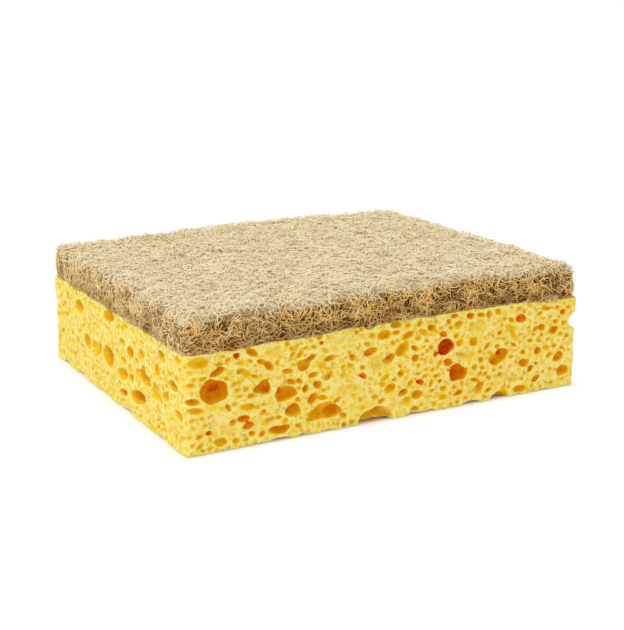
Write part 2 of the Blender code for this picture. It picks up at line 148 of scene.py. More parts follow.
SHORT_SIDE_CELLS = [
    (-41.1, 21.9, 2.3, 2, 0), (-40.4, 17.2, 2.4, 1.3, 0), (-38.1, 12.6, 2.1, 0.7, 0),
    (-36.3, 17.3, 2.2, 1.1, 10), (-32.2, 2.7, 2.1, 0.9, -10), (-31.1, 14.8, 1.6, 0.8, 0),
    (-29, 2.4, 2.2, 1, -20), (-28.7, 4.1, 1.6, 0.9, -20), (-27.4, 20, 1.9, 1, -30),
    (-20.4, 20.6, 2.1, 0.8, 10), (-17.6, 1.5, 1.8, 0.8, 0), (-15.9, 14.9, 2.5, 1.5, -10),
    (-9.4, 21.7, 2, 0.9, 0), (-7.6, 12.8, 3.3, 1.6, 10), (-6.3, 4.2, 5.6, 1.8, -10),
    (-2, 22.5, 1.5, 0.9, -40), (1.2, 4.3, 2, 0.8, 0), (4.5, 6.1, 2, 0.8, -10),
    (13.8, 5.5, 1.7, 0.8, 10), (30.4, 10.3, 2, 0.7, -20), (-21, 11.8, 8.4, 3, 0),
    (-16.2, 5.9, 9, 3.4, -10), (23.9, 19.2, 5.6, 3.6, 0), (3.2, 10.9, 6.6, 5.8, 0),
    (18.4, 10.7, 4.8, 3.4, 0), (-6.8, 9.1, 5.7, 2.9, -15), (1.8, 21.8, 5.4, 2.5, 0),
    (-38.1, 14.9, 5, 2.3, 0), (-12.1, 16, 3.9, 2.8, -10), (-28.9, 10.7, 5.8, 2.8, 40),
    (-33.9, 11.2, 3.8, 2.4, -20), (10.6, 10.8, 4.8, 2.6, -40), (-28.9, 16.2, 3.4, 2.6, 0),
    (-31.5, 20.2, 3.7, 2.4, 10), (-41.2, 9, 3.8, 2, 15), (-12.1, 9.5, 3, 2.1, 0),
    (-7.3, 17.3, 3.4, 1.7, 0), (-19, 17.3, 2.9, 2, 0), (-31, 0, 4, 1.1, 0), (-9, 0, 5, 1.2, 0),
    (9, 0.1, 3, 1.2, 0), (25, 0, 5, 1.4, 0), (37, 0.2, 3, 1.4, 0),
]

# Wide and shallow dishes on the long side, given in the same way
LONG_SIDE_DISHES = [
    (-4.4, 14.5, 7, 4, 30), (-12.8, 8.8, 9, 4, 5), (24, 19.8, 6.5, 3, 10), (20, 12.8, 5, 3, 0),
    (-45.3, 5.3, 5, 2.2, 20), (-30, 13.4, 2.8, 1.6, 0), (-34.6, 5.1, 4, 2, 0),
    (-15.8, 21.3, 6.5, 3, 5), (-32.7, 21.2, 5.5, 2.6, 10), (1, 3.8, 6.5, 3, 0), (34, 5.5, 5, 2.6, 10),
]
DISH_DEPTH = 0.0006

# How deep a measured pore is, in half widths, and how far down its middle lies, in half depths
MEASURED_DEPTHS = (0.9, 1.6)
MEASURED_SUNK = 0.2

# The pores painted orange-red inside as painted shade, and those kept paler with less of it, on
# the long side and on the short one, in millimetres: how far along and up, how wide, then how
# red, up to 1, or how pale, down to -1
LONG_SIDE_BLUSHES = [
    (14.6, 15.6, 6.3, 1.0), (-20.2, 21.4, 2.4, 0.8), (37, 19.8, 3.8, 0.6), (-41.9, 22.5, 3, 0.7),
    (-39, 4.9, 3.8, 0.6), (21.3, 22.9, 2, 0.6), (-9.6, 11.9, 2.6, 0.7), (42.1, 17.3, 2.4, 0.3),
    (-47.6, 13.5, 7.6, 0.02), (7.1, 7.7, 2.6, 0.4), (-25.2, 16.7, 3.5, 0.15), (17.9, 8.5, 6, 0.3),
    (45.9, 19.2, 1.8, 0.4), (-15.8, 21.3, 6.5, -0.8), (-32.7, 21.5, 5, -0.8), (-4.4, 14.5, 4.5, -0.8),
    (-12.8, 8.8, 6, -0.8), (-0.3, 4, 5.5, -0.7), (24, 19.8, 4.4, -0.8), (20, 12.8, 4, -0.8),
    (-45.3, 5.3, 4, -0.7), (-30, 13.4, 2.6, -0.8), (-34.6, 5.1, 3.4, -0.7), (34, 5.5, 4.6, -0.7),
]
SHORT_SIDE_BLUSHES = [(1.8, 21.8, 3.8, 0.5)]

# How much paler the whole short side is painted, as painted light from the lamp on that side,
# and how many millimetres deep
SHORT_SIDE_PAINTED_LIGHT = 0.22
PAINTED_LIGHT_DEPTH = 4.0

# Small pores strewn between them: how many for each square centimetre, least and greatest
# widths, and the least wall
STREWN_PORES = {
    "front": [(4, 0.0012, 0.0020, 0.00025), (24, 0.0006, 0.0013, 0.0002)],
    "left": [(3, 0.0012, 0.0020, 0.00025), (12, 0.0006, 0.0013, 0.0002)],
    "back": [(4, 0.0014, 0.0034, 0.0003), (14, 0.0007, 0.0015, 0.0002)],
    "right": [(4, 0.0014, 0.0034, 0.0003), (14, 0.0007, 0.0015, 0.0002)],
    "underside": [(3, 0.0014, 0.0034, 0.0003), (6, 0.0008, 0.0015, 0.0002)],
}
TRIES_PER_PORE = 12

# Cells just under the faces, which open into the pores: how many are tried, least and greatest
# widths, the least skin over them and how deep they lie
BURIED_PORES = (1200, 0.0009, 0.0026)
BURIED_SKIN = 0.0006
BURIED_BAND = 0.0065

# Each face of the block that the pad leaves bare: its name, its axis and which way it faces
FACES = [("front", 1, -1), ("left", 0, -1), ("back", 1, 1), ("right", 0, 1), ("underside", 2, -1)]


def node_arrays(name):
    """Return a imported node's points and its triangles' corners, with equal points welded."""
    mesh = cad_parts[name].data
    mesh.calc_loop_triangles()
    points = np.empty(len(mesh.vertices) * 3, np.float32)
    mesh.vertices.foreach_get("co", points)
    corners = np.empty(len(mesh.loop_triangles) * 3, np.int32)
    mesh.loop_triangles.foreach_get("vertices", corners)
    points = points.reshape(-1, 3)
    spots = np.round(points / WELD_DISTANCE)
    _, first, index = np.unique(spots, axis=0, return_index=True, return_inverse=True)
    return points[first], index.reshape(-1)[corners].reshape(-1, 3)


class Voxels:
    """A box of voxels round some points, for signed distances in metres."""

    def __init__(self, points, pitch):
        self.pitch = pitch
        self.low = np.floor(points.min(0) / pitch).astype(int) - MARGIN_VOXELS
        high = np.ceil(points.max(0) / pitch).astype(int) + MARGIN_VOXELS
        self.shape = tuple(int(side) for side in high - self.low + 1)
        axes = [pitch * (low + np.arange(side)) for low, side in zip(self.low, self.shape)]
        self.x = axes[0].astype(np.float32)[:, None, None]
        self.y = axes[1].astype(np.float32)[None, :, None]
        self.z = axes[2].astype(np.float32)[None, None, :]

    def distance_to(self, points, corners):
        """Return the signed distance to a closed mesh, kept to a band round its skin."""
        grid = openvdb.FloatGrid.createLevelSetFromPolygons(
            points.astype(np.float32),
            triangles=corners.astype(np.uint32),
            transform=openvdb.createLinearTransform(voxelSize=self.pitch),
            halfWidth=BAND_VOXELS,
        )
        field = np.empty(self.shape, np.float32)
        grid.copyToArray(field, ijk=tuple(int(place) for place in self.low))
        return field

    def surface_of(self, field, coarsening):
        """Return the points and the faces of the skin where a field is zero."""
        grid = openvdb.FloatGrid(background=1.0)
        grid.transform = openvdb.createLinearTransform(voxelSize=self.pitch)
        grid.copyFromArray(field, ijk=tuple(int(place) for place in self.low))
        points, triangles, quads = grid.convertToPolygons(isovalue=0.0, adaptivity=coarsening)
        return points, triangles.astype(np.int32), quads.astype(np.int32)

    def sample(self, field, places):
        """Return a field's values at these places, blended between voxels."""
        spots = np.clip(places / self.pitch - self.low, 0, np.array(self.shape) - 1.001)
        base = np.floor(spots).astype(np.int32)
        part = (spots - base).astype(np.float32)
        result = np.zeros(len(places), np.float32)
        for corner in range(8):
            step = [corner & 1, corner >> 1 & 1, corner >> 2]
            weight = np.prod(np.where(step, part, 1 - part), axis=1)
            result += weight * field[tuple((base + step).T)]
        return result

    def window(self, middle, reach):
        """Return the slices of the voxels within reach of a place."""
        low = np.floor((middle - reach) / self.pitch).astype(int) - self.low
        high = np.ceil((middle + reach) / self.pitch).astype(int) - self.low + 1
        ends = zip(np.maximum(low, 0), np.minimum(high, self.shape))
        return tuple(slice(int(start), int(stop)) for start, stop in ends)


def smooth_noise(voxels, dice, pitch):
    """Return a smooth random field, mostly between -1 and 1, that changes over this pitch."""
    knots = [int(side * voxels.pitch / pitch) + 4 for side in voxels.shape]
    result = dice.standard_normal(knots).astype(np.float32)
    for axis, side in enumerate(voxels.shape):
        spots = 1 + np.arange(side) * voxels.pitch / pitch
        base = np.floor(spots).astype(int)
        part = (spots - base).astype(np.float32)
        part = part * part * (3 - 2 * part)
        form = [1, 1, 1]
        form[axis] = side
        part = part.reshape(form)
        result = np.take(result, base, axis) * (1 - part) + np.take(result, base + 1, axis) * part
    return result


def smooth_max(first, second, width):
    """Return the greater of two fields, with the crease between them rounded over this width."""
    crease = np.maximum(width - np.abs(first - second), 0) / width
    return np.maximum(first, second) + crease * crease * width / 4


def blurred(field, reach):
    """Return a field averaged over a soft box of this reach in voxels."""
    for _ in range(2):
        for axis in range(3):
            ends = [(0, 0)] * 3
            ends[axis] = (reach + 1, reach)
            sums = np.cumsum(np.pad(field, ends, mode="edge"), axis=axis, dtype=np.float64)
            width = 2 * reach + 1
            high = np.take(sums, np.arange(width, sums.shape[axis]), axis)
            low = np.take(sums, np.arange(sums.shape[axis] - width), axis)
            field = ((high - low) / width).astype(np.float32)
    return field


class Crown:
    """The block's arched top line, read off its solid: height for each place along the length."""

    def __init__(self, voxels, solid):
        inside = (solid < 0) & (solid > -2 * voxels.pitch)
        heights = np.where(inside, voxels.z - solid, 0).max(axis=(1, 2))
        known = heights > 0.5 * heights.max()
        self.places = voxels.x.ravel()[known]
        self.heights = heights[known]

    def at(self, x):
        """Return the height of the top at these places."""
        return np.interp(x, self.places, self.heights).astype(np.float32)


def hull_distance(voxels, top, half_length, half_width):
    """Return the distance to the block without its pores, under its arched top."""
    over_x = np.abs(voxels.x) - half_length + CORNER_RADIUS
    over_y = np.abs(voxels.y) - half_width + CORNER_RADIUS
    outside = np.hypot(np.maximum(over_x, 0), np.maximum(over_y, 0))
    plan = outside + np.minimum(np.maximum(over_x, over_y), 0) - CORNER_RADIUS
    return np.maximum(np.maximum(plan, -voxels.z), voxels.z - top)


def warped(voxels, field, dice, half_sizes):
    """Return a field drawn out of true by smooth noise that never moves it off the flat faces."""
    places = np.stack(np.broadcast_arrays(voxels.x, voxels.y, voxels.z), axis=-1).astype(np.float32)
    middle_z = half_sizes[2]
    spans = [
        half_sizes[0] - np.abs(voxels.x),
        half_sizes[1] - np.abs(voxels.y),
        middle_z - np.abs(voxels.z - middle_z),
    ]
    near = np.abs(field) < 0.99 * BAND_VOXELS * VOXEL
    moved = places[near]
    for axis, span in enumerate(spans):
        fade = np.broadcast_to(np.clip(span / WARP_FADE, 0, 1), voxels.shape)[near]
        for pitch, strength in WARPS:
            moved[:, axis] += fade * strength * smooth_noise(voxels, dice, pitch)[near]
    result = field.copy()
    result[near] = voxels.sample(field, moved)
    return result


def turned(axis, angle):
    """Return the matrix that turns round one of the axes."""
    first, second = [side for side in range(3) if side != axis]
    matrix = np.eye(3)
    matrix[first, first] = matrix[second, second] = math.cos(angle)
    matrix[first, second] = -math.sin(angle)
    matrix[second, first] = math.sin(angle)
    return matrix


def hollow(voxels, cells, middle, half_sizes, matrix):
    """Carve one lens-shaped cell into a field of distances to cells."""
    reach = max(half_sizes) + 3 * VOXEL
    place = voxels.window(middle, reach)
    if any(part.start >= part.stop for part in place):
        return
    offsets = [
        voxels.x[place[0]] - middle[0],
        voxels.y[:, place[1]] - middle[1],
        voxels.z[:, :, place[2]] - middle[2],
    ]
    squares = 0
    for row, half in zip(matrix, half_sizes):
        along = row[0] * offsets[0] + row[1] * offsets[1] + row[2] * offsets[2]
        squares = squares + (along / half) ** 2
    distance = (np.sqrt(squares) - 1) * min(half_sizes)
    cells[place] = np.minimum(cells[place], distance)


def measured_pores(cells, voxels, dice, half_sizes):
    """Carve the smaller pores that were measured on the two sides that show."""
    for axis, rows in ((1, LONG_SIDE_CELLS), (0, SHORT_SIDE_CELLS)):
        for along, up, wide, high, tilt in rows:
            half = np.empty(3)
            half[1 - axis] = wide * MM / 2
            half[2] = high * MM / 2
            half[axis] = (wide + high) * MM / 4 * dice.uniform(*MEASURED_DEPTHS)
            place = np.empty(3)
            place[1 - axis] = along * MM
            place[2] = up * MM
            place[axis] = MEASURED_SUNK * half[axis] - half_sizes[axis]
            turn = math.radians(tilt) if axis == 1 else -math.radians(tilt)
            hollow(voxels, cells, place, half, turned(axis, turn))
    for along, up, wide, high, tilt in LONG_SIDE_DISHES:
        half = np.array([wide * MM / 2, DISH_DEPTH, high * MM / 2])
        place = np.array([along * MM, -half_sizes[1], up * MM])
        hollow(voxels, cells, place, half, turned(1, math.radians(tilt)))


def free_place(voxels, solid, measured, taken, reaches, dice, half_sizes, face, width, wall):
    """Return a random place on a face that is clear of the pores there, or None."""
    axis, sign = face[1:]
    centre = np.array([0, 0, half_sizes[2]])
    for _ in range(TRIES_PER_PORE):
        place = centre + (2 * dice.random(3) - 1) * half_sizes
        place[axis] = centre[axis] + sign * (half_sizes[axis] - width / 2 - wall)
        if voxels.sample(solid, place[None])[0] > -(width / 2 + 0.4 * wall):
            continue
        if voxels.sample(measured, place[None])[0] < width / 2 + wall:
            continue
        gaps = np.linalg.norm(np.delete(taken - place, axis, axis=1), axis=1) - reaches
        if len(gaps) and gaps.min() < width / 2 + wall:
            continue
        return place
    return None


def strewn_pores(cells, voxels, solid, dice, half_sizes):
    """Carve small pores at random between those of the solid and the measured ones."""
    measured = cells.copy()
    centre = np.array([0, 0, half_sizes[2]])
    for face in FACES:
        name, axis, sign = face
        first, second = [side for side in range(3) if side != axis]
        area = 4 * half_sizes[first] * half_sizes[second] * 1e4
        taken = np.empty((0, 3))
        reaches = np.empty(0)
        for density, least, greatest, wall in STREWN_PORES[name]:
            widths = least + (greatest - least) * dice.random(int(area * density)) ** 1.5
            for width in np.sort(widths)[::-1]:
                place = free_place(
                    voxels, solid, measured, taken, reaches, dice, half_sizes, face, width, wall
                )
                if place is None:
                    continue
                taken = np.vstack([taken, place])
                reaches = np.append(reaches, width / 2)
                flat = dice.uniform(0.55, 1.0)
                half = np.empty(3)
                half[first] = width / 2 * 1.1
                half[second] = width / 2 * flat
                half[axis] = width / 2 * dice.uniform(0.7, 1.5)
                depth = half[axis] * dice.uniform(-0.2, 0.5)
                place[axis] = centre[axis] + sign * (half_sizes[axis] - depth)
                hollow(voxels, cells, place, half, turned(axis, dice.uniform(-0.7, 0.7)))


def buried_pores(cells, voxels, dice, half_sizes):
    """Carve cells under the faces, so that pores open into one another."""
    centre = np.array([0, 0, half_sizes[2]])
    count, least, greatest = BURIED_PORES
    for _ in range(count):
        width = least + (greatest - least) * dice.random() ** 1.5
        half = width / 2 * dice.uniform(0.7, 1.0, 3)
        place = centre + (2 * dice.random(3) - 1) * half_sizes
        depth = half_sizes - np.abs(place - centre)
        depth[2] = place[2]
        if depth.min() < width / 2 + BURIED_SKIN or depth.min() > BURIED_BAND:
            continue
        hollow(voxels, cells, place, half, turned(2, dice.uniform(0, 3)))


def small_pores(voxels, solid, dice, half_sizes):
    """Return the distance to every pore that the solid lacks."""
    cells = np.full(voxels.shape, 1.0, np.float32)
    measured_pores(cells, voxels, dice, half_sizes)
    strewn_pores(cells, voxels, solid, dice, half_sizes)
    buried_pores(cells, voxels, dice, half_sizes)
    return cells


def outer_skin(count, faces):
    """Return which points belong to the largest skin, found by spreading labels over edges."""
    edges = np.concatenate([faces[:, [0, 1]], faces[:, [1, 2]]])
    labels = np.arange(count)
    while True:
        spread = labels.copy()
        np.minimum.at(spread, edges[:, 0], labels[edges[:, 1]])
        np.minimum.at(spread, edges[:, 1], labels[edges[:, 0]])
        spread = spread[spread]
        if np.array_equal(spread, labels):
            break
        labels = spread
    names, sizes = np.unique(labels, return_counts=True)
    return labels == names[np.argmax(sizes)]


def mesh_object(name, points, *faces):
    """Return an object of these points and arrays of faces, smooth all over."""
    mesh = bpy.data.meshes.new(name)
    mesh.vertices.add(len(points))
    mesh.vertices.foreach_set("co", np.ascontiguousarray(points, np.float32).ravel())
    corners = np.concatenate([kind.ravel() for kind in faces]).astype(np.int32)
    sides = np.concatenate([np.full(len(kind), kind.shape[1]) for kind in faces])
    starts = (np.cumsum(sides) - sides).astype(np.int32)
    mesh.loops.add(len(corners))
    mesh.loops.foreach_set("vertex_index", corners)
    mesh.polygons.add(len(starts))
    mesh.polygons.foreach_set("loop_start", starts)
    mesh.update(calc_edges=True)
    mesh.shade_smooth()
    made = bpy.data.objects.new(name, mesh)
    bpy.context.scene.collection.objects.link(made)
    return made


def add_attribute(thing, name, values):
    """Give a mesh one number for each of its points."""
    layer = thing.data.attributes.new(name, "FLOAT", "POINT")
    layer.data.foreach_set("value", np.ascontiguousarray(values, np.float32))


def body_field():
    """Return the foam as a field of distances, its voxels, and the block without its pores."""
    points, corners = node_arrays("sponge_block")
    voxels = Voxels(points, VOXEL)
    solid = voxels.distance_to(points, corners)
    half_sizes = (points.max(0) - points.min(0)) / 2
    dice = np.random.default_rng(FOAM_SEED)
    crown = Crown(voxels, solid)
    hull = hull_distance(voxels, crown.at(voxels.x), half_sizes[0], half_sizes[1])
    for pitch, strength in FACE_LUMPS:
        hull += strength * np.maximum(smooth_noise(voxels, dice, pitch) + 0.5, 0)
    body = warped(voxels, solid, dice, half_sizes)
    cells = small_pores(voxels, solid, dice, half_sizes)
    body = np.maximum(body, hull)
    body = smooth_max(body, -cells, RIM_ROUNDING)
    body = 0.5 * body + 0.5 * blurred(body, 1)
    return body, voxels, hull, crown


def vertex_normals(points, split):
    """Return the area-weighted normal of each point of a mesh of triangles."""
    sides = points[split]
    normals = np.cross(sides[:, 1] - sides[:, 0], sides[:, 2] - sides[:, 0])
    total = np.zeros((len(points), 3))
    for axis in range(3):
        for corner in range(3):
            total[:, axis] += np.bincount(split[:, corner], normals[:, axis], len(points))
    return total / np.maximum(np.linalg.norm(total, axis=1), 1e-12)[:, None]


def blushes(points, half_sizes):
    """Return how much painted shade reddens each point, or below zero pales it.

    It comes from the listed pores, less the painted light on the short side.
    """
    red = np.zeros(len(points))
    for axis, rows in ((1, LONG_SIDE_BLUSHES), (0, SHORT_SIDE_BLUSHES)):
        depth = points[:, axis] + half_sizes[axis]
        for along, up, wide, strength in rows:
            aside = np.hypot(points[:, 1 - axis] - along * MM, points[:, 2] - up * MM)
            aside /= wide * MM / 2
            share = np.clip((1.25 - aside) / 0.3, 0, 1) * (depth < 1.2 * wide * MM)
            red = np.where(np.abs(strength * share) > np.abs(red), strength * share, red)
    # The short side is painted paler, as painted light from the lamp on that side
    from_short_side = (points[:, 0] + half_sizes[0]) / MM
    return red - SHORT_SIDE_PAINTED_LIGHT * np.clip(PAINTED_LIGHT_DEPTH - from_short_side, 0, 1)


def foam_values(body, voxels, hull, crown, points):
    """Return each point's depth, painted red shade, and how tight the foam is about it and its pore.
    """
    solid = (body < 0).astype(np.float32)
    tightness = voxels.sample(blurred(solid, 1), points)
    under_pad = np.clip((crown.at(points[:, 0]) - points[:, 2]) / 0.0006, 0, 1)
    return {
        "depth": -1000 * voxels.sample(hull, points),
        "blush": blushes(points, (points.max(0) - points.min(0)) / 2),
        "tightness": 0.5 + (tightness - 0.5) * under_pad,
        "pocket": voxels.sample(blurred(solid, 4), points),
    }


def build_foam():
    """Return the pieces of the foam, with seams that no shading shows, and its crown."""
    body, voxels, hull, crown = body_field()
    skin, triangles, quads = voxels.surface_of(body, FOAM_COARSENING)
    split = np.concatenate([triangles, quads[:, [0, 1, 2]], quads[:, [0, 2, 3]]])
    keep = outer_skin(len(skin), split)
    renumber = np.cumsum(keep) - 1
    split = renumber[split[keep[split[:, 0]]]]
    points = skin[keep]
    normals = vertex_normals(points, split)
    values = foam_values(body, voxels, hull, crown, points)
    middles = points[split].mean(axis=1)
    in_front = middles[:, 1] < FRONT_SEAM
    regions = [
        ("sponge_front", in_front),
        ("sponge_left", ~in_front & (middles[:, 0] < 0)),
        ("sponge_right", ~in_front & (middles[:, 0] >= 0)),
    ]
    pieces = []
    for name, chosen in regions:
        used, index = np.unique(split[chosen], return_inverse=True)
        thing = mesh_object(name, points[used], index.reshape(-1, 3))
        thing.data.normals_split_custom_set_from_vertices(normals[used].tolist())
        for attribute, numbers in values.items():
            add_attribute(thing, attribute, numbers[used])
        pieces.append(thing)
    return pieces, crown


def pad_field():
    """Return voxels round the pad and the distances to its even skin and to its lumpy one.

    The sides are carried straight down, so that the skin reaches the bond.
    """
    points, corners = node_arrays("scouring_pad")
    voxels = Voxels(points, PAD_VOXEL)
    field = voxels.distance_to(points, corners)
    knee = int(0.55 * voxels.shape[2])
    field[:, :, :knee] = field[:, :, knee:knee + 1]
    even = blurred(field, 1)
    dice = np.random.default_rng(FIBRE_SEED)
    near_top = np.clip((voxels.z - points[:, 2].max()) / CALM_DEPTH + 1, 0, 1)
    calm = 1 - CALM_ON_TOP * near_top
    for pitch, strength in PAD_LUMPS:
        field += strength * calm * smooth_noise(voxels, dice, pitch)
    return voxels, even, blurred(field, 1)


def hug(above_foot):
    """Return how much of its depth a fibre or the core keeps this far above the bond."""
    return np.clip(above_foot / 0.001, 0.3, 1)


def outward(voxels, slopes, places):
    """Return the directions out of the pad at these places."""
    normals = np.stack([voxels.sample(slope, places) for slope in slopes], axis=1)
    return normals / np.maximum(np.linalg.norm(normals, axis=1), 1e-6)[:, None]


def add_zones(thing, crown, points, normals):
    """Tell a mesh's points their height over the bond, and which zone of the pad they face."""
    add_attribute(thing, "height", 1000 * (points[:, 2] - crown.at(points[:, 0])))
    sides = np.maximum(np.hypot(normals[:, 0], normals[:, 1]), 1e-6)
    add_attribute(thing, "upward", normals[:, 2])
    add_attribute(thing, "long_side", (normals[:, 1] / sides) ** 2)


def build_core(crown, voxels, even, field, slopes):
    """Return the inside of the pad, which shows between its fibres."""
    foot = crown.at(voxels.x)
    inset = CORE_INSET + (CORE_INSET_ON_TOP - CORE_INSET) * np.clip(slopes[2], 0, 1)
    core = np.maximum(field + inset * hug(voxels.z - foot), foot - voxels.z)
    skin, triangles, quads = voxels.surface_of(core, CORE_COARSENING)
    thing = mesh_object("pad_core", skin, triangles, quads)
    add_attribute(thing, "depth", -1000 * voxels.sample(even, skin))
    add_zones(thing, crown, skin, outward(voxels, slopes, skin))
    return thing


def start_places(points, corners, dice, count, on_top):
    """Return seeded places on the pad's top or its sides."""
    sides = points[corners]
    normals = np.cross(sides[:, 1] - sides[:, 0], sides[:, 2] - sides[:, 0])
    area = np.linalg.norm(normals, axis=1)
    normals = normals / np.maximum(area, 1e-12)[:, None]
    facing_up = normals[:, 2]
    top = facing_up > TOP_FACING
    chance = area * (top if on_top else ~top & (facing_up > -0.5))
    picked = dice.choice(len(corners), count, p=chance / chance.sum())
    first, second = dice.random((2, count))
    over = first + second > 1
    first[over] = 1 - first[over]
    second[over] = 1 - second[over]
    chosen = sides[picked]
    places = chosen[:, 0] + first[:, None] * (chosen[:, 1] - chosen[:, 0])
    return places + second[:, None] * (chosen[:, 2] - chosen[:, 0])


def walk(voxels, field, slopes, crown, places, steps, plan, dice):
    """Return fibre paths that wander round the pad's skin, and the skin's normals there."""
    count = len(places)
    paths = np.empty((count, steps + 1, 3))
    normals = np.empty((count, steps + 1, 3))
    lengths = dice.uniform(*plan["length"], count)
    least, greatest = plan["depth"]
    rest = least + (greatest - least) * dice.random(count)
    swing = plan["swing"] * dice.random(count) ** 2
    spin = dice.normal(0, plan["curl"], count)
    kink = plan["kink"]
    heading = dice.normal(size=(count, 3))
    heading[:, 2] *= plan["lean"]
    foot = dice.uniform(-0.0003, 0.0008, count)
    phase = dice.uniform(0, 2 * math.pi, count)
    wave = dice.uniform(*plan["wave"], count)
    place = places.copy()
    for step in range(steps + 1):
        normal = outward(voxels, slopes, place)
        near_foot = hug(place[:, 2] - crown.at(place[:, 0]))
        aim = near_foot * (swing * np.sin(phase + wave * step) - rest)
        pull = voxels.sample(field, place) - aim
        place = place - normal * pull[:, None]
        place[:, 2] = np.maximum(place[:, 2], crown.at(place[:, 0]) - foot)
        paths[:, step] = place
        normals[:, step] = normal
        heading -= normal * (heading * normal).sum(1)[:, None]
        heading /= np.maximum(np.linalg.norm(heading, axis=1), 1e-6)[:, None]
        turn = spin + dice.normal(0, kink, count)
        side = np.cross(normal, heading)
        heading = heading * np.cos(turn)[:, None] + side * np.sin(turn)[:, None]
        place = place + heading * (lengths / steps)[:, None]
    return paths, normals


def fibres(name, paths, normals, depths, radii, crown, dice):
    """Return one object of fibres along these paths, each an open roof over the skin below it."""
    count, stations = paths.shape[:2]
    along = np.gradient(paths, axis=1)
    along /= np.maximum(np.linalg.norm(along, axis=2), 1e-9)[..., None]
    aside = np.cross(along, normals)
    aside /= np.maximum(np.linalg.norm(aside, axis=2), 1e-9)[..., None]
    above = np.cross(aside, along)
    taper = np.ones(stations)
    taper[[0, -1]] = FIBRE_TIP
    size = (radii[:, None] * taper)[..., None]
    rings = [paths + size * (across * aside + up * above) for across, up in FIBRE_PROFILE]
    points = np.stack(rings, axis=2).reshape(-1, 3)
    base = 3 * np.arange(count * stations).reshape(count, stations)[:, :-1, None]
    base = base + np.arange(2)
    quads = np.stack([base, base + 1, base + 4, base + 3], axis=-1)
    thing = mesh_object(name, points, quads.reshape(-1, 4))
    add_attribute(thing, "depth", np.repeat(1000 * depths, 3))
    add_attribute(thing, "tone", np.repeat(dice.random(count), 3 * stations))
    add_zones(thing, crown, points, np.repeat(normals.reshape(-1, 3), 3, axis=0))
    return thing


# The kinds of fibre: how many and in how many pieces, whether on the top or the sides, the steps
# of each path, then ranges of length, of depth under the skin and of radius in metres, how far
# and how fast they swing in and out, how they bend and how far they lean out of the level
FIBRE_PLANS = [
    {
        "name": "top_fibres", "count": 12600, "pieces": 2, "on_top": True, "steps": 5,
        "length": (0.0016, 0.0042), "depth": (-0.0002, 0.0004), "swing": 0.0007, "wave": (0.7, 1.7),
        "curl": 0.22, "kink": 0.35, "lean": 1.0, "radius": (0.00007, 0.00012),
    },
    {
        "name": "top_strays", "count": 1500, "pieces": 1, "on_top": True, "steps": 7,
        "length": (0.002, 0.005), "depth": (-0.0003, 0.0), "swing": 0.0007, "wave": (0.5, 1.2),
        "curl": 0.15, "kink": 0.25, "lean": 1.0, "radius": (0.00007, 0.00011),
    },
    {
        "name": "side_fibres", "count": 8400, "pieces": 2, "on_top": False, "steps": 6,
        "length": (0.0018, 0.0042), "depth": (-0.0002, 0.0012), "swing": 0.0006, "wave": (0.5, 1.4),
        "curl": 0.22, "kink": 0.42, "lean": 0.6, "radius": (0.00007, 0.00013),
    },
    {
        "name": "foot_fibres", "count": 2000, "pieces": 1, "on_top": False, "steps": 5,
        "length": (0.0018, 0.0040), "depth": (-0.0002, 0.0008), "swing": 0.0005, "wave": (0.5, 1.4),
        "curl": 0.22, "kink": 0.42, "lean": 0.5, "radius": (0.00007, 0.00013), "band": 0.0040,
    },
]


def build_fibres(crown, voxels, even, field, slopes):
    """Return the loose plant fibres over the pad's top and its cut sides."""
    points, corners = node_arrays("scouring_pad")
    dice = np.random.default_rng(FIBRE_SEED)
    made = []
    for plan in FIBRE_PLANS:
        count = plan["count"] // plan["pieces"]
        for part in range(plan["pieces"]):
            places = start_places(points, corners, dice, count, plan["on_top"])
            if "band" in plan:
                places[:, 2] = crown.at(places[:, 0]) + plan["band"] * dice.random(count)
            paths, normals = walk(voxels, field, slopes, crown, places, plan["steps"], plan, dice)
            depths = -voxels.sample(even, paths.reshape(-1, 3))
            radii = dice.uniform(*plan["radius"], count)
            name = f"{plan['name']}_{part + 1}"
            made.append(fibres(name, paths, normals, depths, radii, crown, dice))
    return made


